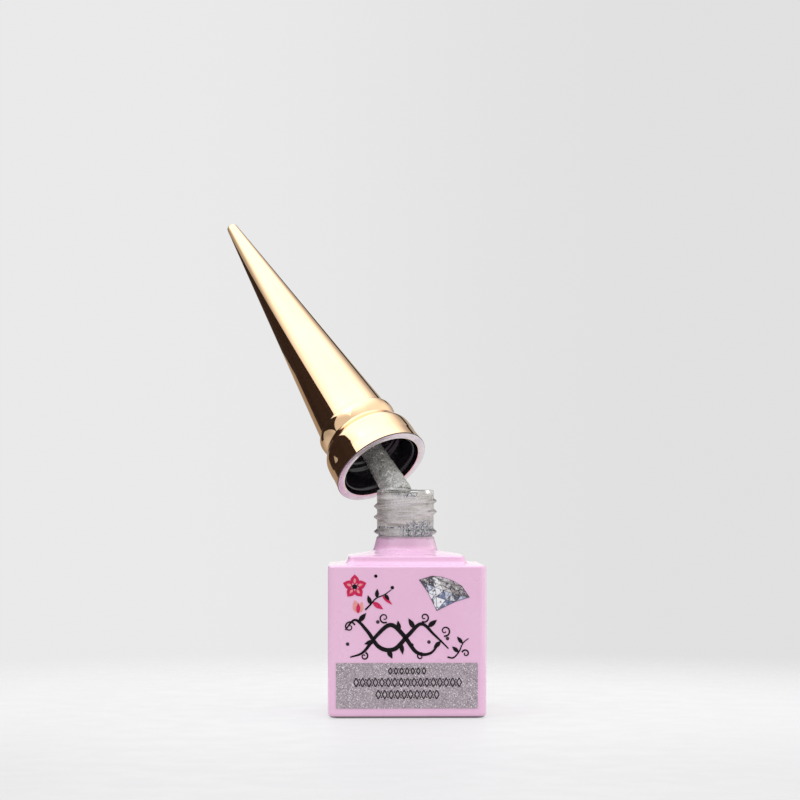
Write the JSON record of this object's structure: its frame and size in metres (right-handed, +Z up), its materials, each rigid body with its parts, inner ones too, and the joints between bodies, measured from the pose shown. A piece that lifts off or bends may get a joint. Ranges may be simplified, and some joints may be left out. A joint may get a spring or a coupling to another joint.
{
  "type": "nail polish bottle",
  "caption": "Square lacquered glass nail polish bottle with a threaded clear neck; its tall mirror cone cap is drawn and leans on the rim, gel-laden brush in the bore.",
  "frame": {"origin": "centre of the base, on the surface that the bottle stands on", "axes": "+Z up along the neck, -Y out of the decorated front face, +X to the right seen from the front"},
  "size_m": [0.0552, 0.0604, 0.106],
  "materials": {
    "clear_glass": "clear pressed glass, polished",
    "pink_lacquer": "glossy pale pink sprayed lacquer",
    "silver_gel": "wet silver gel full of fine glitter",
    "glitter_print": "silver-mauve glitter print under clear varnish",
    "bristle": "fine nylon filaments wetted with gel",
    "rod_plastic": "natural polyethylene, satin",
    "staple_steel": "drawn wire, dull",
    "liner_foam": "white foamed polyethylene, matt",
    "black_plastic": "glossy black moulded plastic",
    "gold_metallised": "mirror-bright pale gold vacuum metallising"
  },
  "bodies": {
    "bottle": {"glass_bottle": "clear_glass", "pink_lacquer_coat": "pink_lacquer", "gel_polish": "silver_gel", "front_glitter_label": "glitter_print"},
    "tuft": {"bristle_tuft": "bristle"},
    "bend": {"bristle_bend": "bristle"},
    "cap": {"brush_rod": "rod_plastic", "anchor_staple": "staple_steel", "gel_coat": "silver_gel", "sealing_liner": "liner_foam", "inner_cap": "black_plastic", "overcap": "gold_metallised"}
  },
  "joints": [
    {"name": "brush_lift", "type": "slide", "parent": "bottle", "child": "tuft", "axis": [0, 0, 1], "range_m": [0, 0.04]},
    {"name": "brush_tilt", "type": "hinge", "parent": "tuft", "child": "bend", "pos_m": [0.00108, -0.00211, 0.04065], "axis": [0.757, 0.6534, 0], "range_deg": [0, 43]},
    {"name": "cap_turn", "type": "hinge", "parent": "bend", "child": "cap", "pos_m": [-0.0048, 0.0047, 0.0503], "axis": [-0.4456, 0.5163, 0.7314], "continuous": true}
  ]
}
